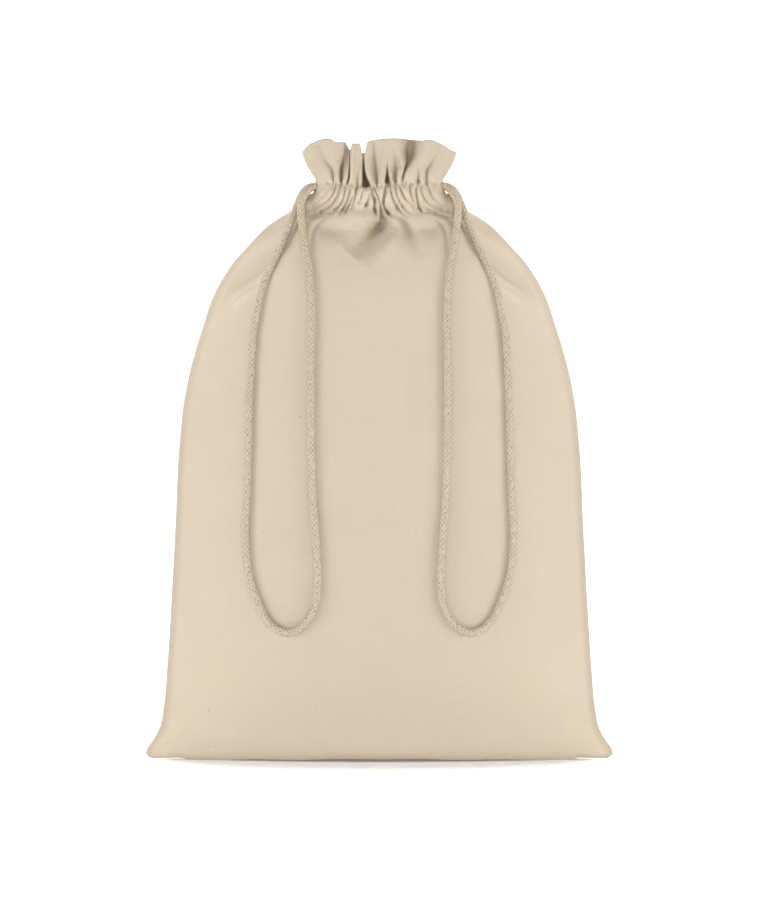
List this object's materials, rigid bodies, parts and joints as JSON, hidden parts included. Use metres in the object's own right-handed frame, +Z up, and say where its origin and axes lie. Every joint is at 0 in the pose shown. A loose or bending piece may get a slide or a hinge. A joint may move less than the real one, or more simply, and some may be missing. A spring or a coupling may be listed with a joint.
{
  "type": "drawstring bag",
  "caption": "Large natural-cotton drawstring bag drawn shut, with a gathered casing, a flared frill and a cord loop hanging from each side slit.",
  "frame": {"origin": "on the floor under the middle of the flat base", "axes": "+Z up to the mouth, +X across the front, -Y is the front with the cord loops"},
  "size_m": [0.3, 0.1027, 0.4],
  "materials": {
    "cotton_cloth": "matt unbleached plain-weave cotton",
    "cotton_cord": "matt braided cotton cord",
    "cotton_thread": "matt sewing thread"
  },
  "bodies": {
    "bag": {"front_panel": "cotton_cloth", "back_panel": "cotton_cloth", "left_side_seam": "cotton_cloth", "right_side_seam": "cotton_cloth", "bottom_seam": "cotton_cloth", "left_cord_front_exit": "cotton_cord", "left_cord_back_exit": "cotton_cord", "left_cord_crossing": "cotton_cord", "right_cord_front_exit": "cotton_cord", "right_cord_back_exit": "cotton_cord", "right_cord_crossing": "cotton_cord"},
    "front_neck": {"front_casing": "cotton_cloth", "front_frill": "cotton_cloth", "front_lower_stitch": "cotton_thread", "front_upper_stitch": "cotton_thread", "left_cord_front_run": "cotton_cord", "right_cord_front_run": "cotton_cord"},
    "back_neck": {"back_casing": "cotton_cloth", "back_frill": "cotton_cloth", "back_lower_stitch": "cotton_thread", "back_upper_stitch": "cotton_thread", "left_cord_back_run": "cotton_cord", "right_cord_back_run": "cotton_cord"},
    "left_lead": {"left_cord_front_lead": "cotton_cord", "left_cord_back_lead": "cotton_cord"},
    "left_loop": {"left_cord_loop": "cotton_cord"},
    "right_lead": {"right_cord_front_lead": "cotton_cord", "right_cord_back_lead": "cotton_cord"},
    "right_loop": {"right_cord_loop": "cotton_cord"}
  },
  "joints": [
    {"name": "mouth_open", "type": "hinge", "parent": "bag", "child": "front_neck", "pos_m": [0, 0, 0.355], "axis": [1, 0, 0], "range_deg": [0, 20]},
    {"name": "back_neck_tilt", "type": "hinge", "parent": "bag", "child": "back_neck", "pos_m": [0, 0, 0.355], "axis": [1, 0, 0], "range_deg": [-20.5, 0]},
    {"name": "left_cord_swing", "type": "hinge", "parent": "bag", "child": "left_lead", "pos_m": [-0.0505, -0.008, 0.366], "axis": [-0.0797, 0.9901, -0.1156], "range_deg": [0, 100]},
    {"name": "right_cord_swing", "type": "hinge", "parent": "bag", "child": "right_lead", "pos_m": [0.0505, -0.008, 0.366], "axis": [-0.0797, -0.9901, 0.1156], "range_deg": [0, 100]},
    {"name": "left_cord_draw", "type": "slide", "parent": "left_lead", "child": "left_loop", "axis": [0, -0.13, 0.9915], "range_m": [0, 0.029], "deforming": ["left_cord_front_lead", "left_cord_back_lead"]},
    {"name": "right_cord_draw", "type": "slide", "parent": "right_lead", "child": "right_loop", "axis": [0, -0.13, 0.9915], "range_m": [0, 0.029], "deforming": ["right_cord_front_lead", "right_cord_back_lead"]}
  ],
  "couplings": [
    {"joint": "back_neck_tilt", "follows": "mouth_open", "ratio": -1},
    {"joint": "left_cord_draw", "follows": "mouth_open", "m_per_rad": 0.08},
    {"joint": "right_cord_draw", "follows": "mouth_open", "m_per_rad": 0.08}
  ]
}
